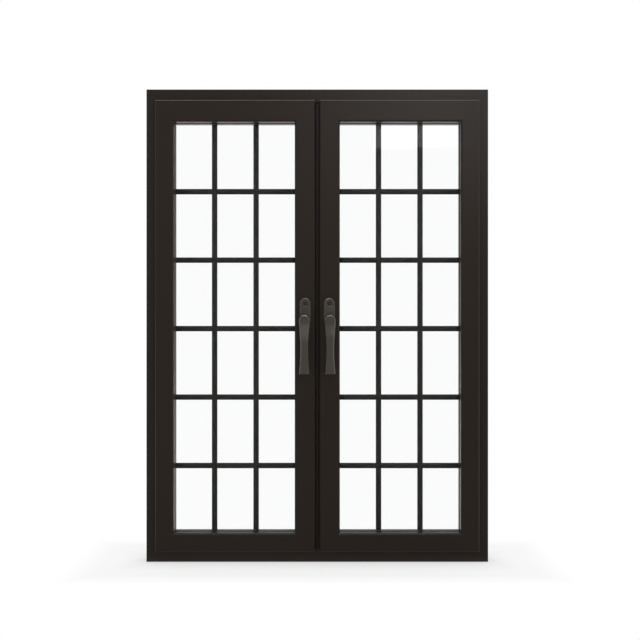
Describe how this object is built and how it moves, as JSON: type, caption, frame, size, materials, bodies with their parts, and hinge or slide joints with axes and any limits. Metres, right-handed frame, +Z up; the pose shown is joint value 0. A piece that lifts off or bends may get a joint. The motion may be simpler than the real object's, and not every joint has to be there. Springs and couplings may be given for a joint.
{
  "type": "french doors",
  "caption": "Glazed french doors in a dark bronze metal frame, with slim stiles, bars inside the glass and long hanging lever handles.",
  "frame": {"origin": "middle of the sill's underside, midway between the frame's front and back faces", "axes": "+X to the right and +Y to the outside as seen from inside the room, +Z up"},
  "size_m": [1.5, 0.1336, 2.074],
  "materials": {
    "bronze_frame": "satin dark bronze powder coat",
    "bronze_handle": "satin bronze, a little lighter and smoother than the frame",
    "bronze_bar": "matt dark bronze",
    "glass": "clear float glass",
    "spacer": "mill finish, dulled",
    "rubber": "matt black",
    "steel": "zinc plated",
    "aluminium": "mill finish",
    "plastic": "moulded"
  },
  "bodies": {
    "frame": {"head": "bronze_frame", "sill": "bronze_frame", "left_jamb": "bronze_frame", "right_jamb": "bronze_frame", "frame_corner_cleats": "aluminium", "frame_seal": "rubber", "head_keep": "steel", "sill_keep": "steel", "bottom_pivots": "steel", "top_pivots": "steel"},
    "left_leaf": {"left_top_rail": "bronze_frame", "left_bottom_rail": "bronze_frame", "left_hinge_stile": "bronze_frame", "left_meeting_stile": "bronze_frame", "left_corner_cleats": "aluminium", "left_leaf_seal": "rubber", "left_inner_pane": "glass", "left_outer_pane": "glass", "left_spacer_frame": "spacer", "left_glazing_bars": "bronze_bar", "left_inner_gasket": "rubber", "left_outer_gasket": "rubber", "left_glazing_beads": "bronze_frame", "left_setting_blocks": "plastic", "left_backplate": "bronze_handle", "left_lock_barrel": "bronze_handle", "left_gearbox": "steel", "left_faceplate": "bronze_frame"},
    "left_handle": {"left_lever": "bronze_handle", "left_spindle": "steel", "left_pinion": "steel"},
    "left_upper_bolt": {"left_upper_rod": "steel"},
    "left_lower_bolt": {"left_lower_rod": "steel"},
    "left_lock": {"left_lock_plug": "bronze_handle"},
    "right_leaf": {"right_top_rail": "bronze_frame", "right_bottom_rail": "bronze_frame", "right_hinge_stile": "bronze_frame", "right_meeting_stile": "bronze_frame", "right_corner_cleats": "aluminium", "right_leaf_seal": "rubber", "right_inner_pane": "glass", "right_outer_pane": "glass", "right_spacer_frame": "spacer", "right_glazing_bars": "bronze_bar", "right_inner_gasket": "rubber", "right_outer_gasket": "rubber", "right_glazing_beads": "bronze_frame", "right_setting_blocks": "plastic", "right_backplate": "bronze_handle", "right_lock_barrel": "bronze_handle", "right_gearbox": "steel", "right_faceplate": "bronze_frame", "astragal": "bronze_frame", "astragal_seal": "rubber"},
    "right_handle": {"right_lever": "bronze_handle", "right_spindle": "steel", "right_pinion": "steel"},
    "right_upper_bolt": {"right_upper_rod": "steel"},
    "right_lower_bolt": {"right_lower_rod": "steel"},
    "right_lock": {"right_lock_plug": "bronze_handle"}
  },
  "joints": [
    {"name": "left_leaf_swing", "type": "hinge", "parent": "frame", "child": "left_leaf", "pos_m": [-0.704, -0.0435, 0], "axis": [0, 0, -1], "range_deg": [0, 100]},
    {"name": "left_lever_turn", "type": "hinge", "parent": "left_leaf", "child": "left_handle", "pos_m": [-0.056, -0.0605, 1.06], "axis": [0, 1, 0], "range_deg": [0, 90]},
    {"name": "left_upper_bolt_slide", "type": "slide", "parent": "left_leaf", "child": "left_upper_bolt", "axis": [0, 0, 1], "range_m": [0, 0.0189]},
    {"name": "left_lower_bolt_slide", "type": "slide", "parent": "left_leaf", "child": "left_lower_bolt", "axis": [0, 0, -1], "range_m": [0, 0.0189]},
    {"name": "left_lock_turn", "type": "hinge", "parent": "left_leaf", "child": "left_lock", "pos_m": [-0.053, -0.051, 1.132], "axis": [0, 1, 0], "range_deg": [0, 90]},
    {"name": "right_leaf_swing", "type": "hinge", "parent": "frame", "child": "right_leaf", "pos_m": [0.704, -0.0435, 0], "axis": [0, 0, 1], "range_deg": [0, 100]},
    {"name": "right_lever_turn", "type": "hinge", "parent": "right_leaf", "child": "right_handle", "pos_m": [0.056, -0.0605, 1.06], "axis": [0, -1, 0], "range_deg": [0, 90]},
    {"name": "right_upper_bolt_slide", "type": "slide", "parent": "right_leaf", "child": "right_upper_bolt", "axis": [0, 0, 1], "range_m": [0, 0.0189]},
    {"name": "right_lower_bolt_slide", "type": "slide", "parent": "right_leaf", "child": "right_lower_bolt", "axis": [0, 0, -1], "range_m": [0, 0.0189]},
    {"name": "right_lock_turn", "type": "hinge", "parent": "right_leaf", "child": "right_lock", "pos_m": [0.053, -0.051, 1.132], "axis": [0, -1, 0], "range_deg": [0, 90]}
  ],
  "couplings": [
    {"joint": "left_upper_bolt_slide", "follows": "left_lever_turn", "m_per_rad": 0.012},
    {"joint": "left_lower_bolt_slide", "follows": "left_lever_turn", "m_per_rad": 0.012},
    {"joint": "right_upper_bolt_slide", "follows": "right_lever_turn", "m_per_rad": 0.012},
    {"joint": "right_lower_bolt_slide", "follows": "right_lever_turn", "m_per_rad": 0.012}
  ]
}
